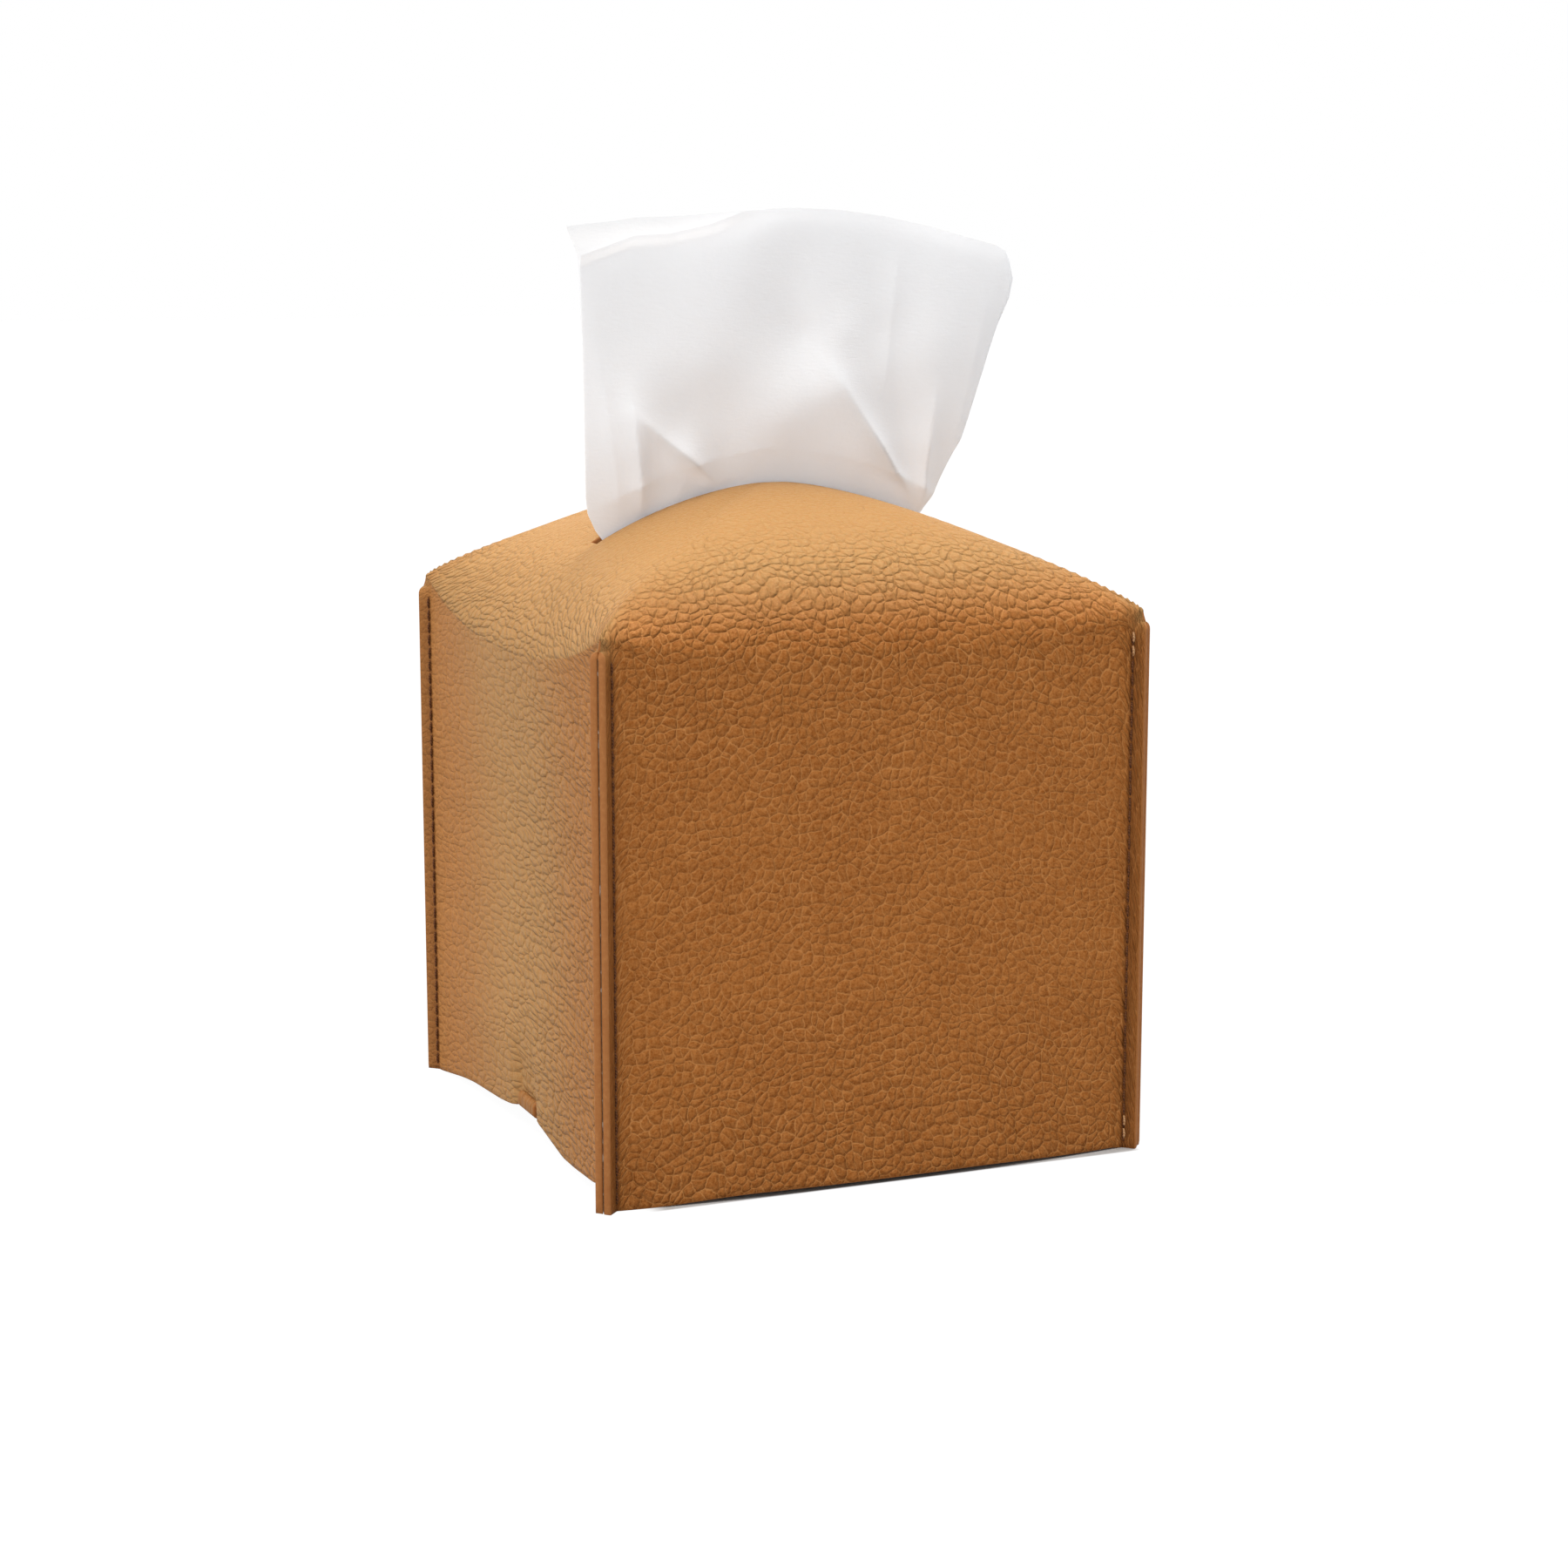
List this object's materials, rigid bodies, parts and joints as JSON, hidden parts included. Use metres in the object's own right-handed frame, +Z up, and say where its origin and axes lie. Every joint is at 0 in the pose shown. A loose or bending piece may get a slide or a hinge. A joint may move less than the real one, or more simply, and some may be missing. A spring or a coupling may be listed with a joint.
{
  "type": "tissue box cover",
  "caption": "Soft square leather cover for a cube tissue carton, with a slotted domed roof, stitched corner seams and a snapped belt underneath.",
  "frame": {"origin": "centre of the footprint, on the plane that the cover stands on", "axes": "+Z up, X along the roof's slot, -Y towards the panel that faces the viewer, -X towards the side where the belt's strap starts"},
  "size_m": [0.1324, 0.134, 0.212],
  "materials": {
    "leather": "pebbled, satin",
    "backing": "woven, matte",
    "thread": "twisted, satin",
    "nickel": "nickel plated",
    "card": "coated card",
    "film": "clear film",
    "tissue": "soft, matte"
  },
  "bodies": {
    "cover": {"leather_blank": "leather", "backing_fabric": "backing", "seam_thread_front_left": "thread", "seam_thread_front_right": "thread", "seam_thread_back_left": "thread", "seam_thread_back_right": "thread", "belt_anchor": "leather", "belt_tab": "leather", "snap_stud": "nickel", "snap_post": "nickel", "carton": "card", "window_film": "film", "tissue_pile": "tissue"},
    "strap": {"belt_strap": "leather", "snap_cap": "nickel", "snap_socket": "nickel"},
    "tissue": {"popup_tissue": "tissue"},
    "next": {"next_tissue": "tissue"}
  },
  "joints": [
    {"name": "belt_swing", "type": "hinge", "parent": "cover", "child": "strap", "pos_m": [-0.055, 0, 0.0031], "axis": [0, 1, 0], "range_deg": [0, 120]},
    {"name": "tissue_pull", "type": "slide", "parent": "cover", "child": "tissue", "axis": [0, 0, 1], "range_m": [0, 0.08]},
    {"name": "next_rise", "type": "slide", "parent": "cover", "child": "next", "axis": [0, 0, 1], "range_m": [0, 0.08]}
  ],
  "couplings": [
    {"joint": "next_rise", "follows": "tissue_pull", "ratio": 1}
  ]
}
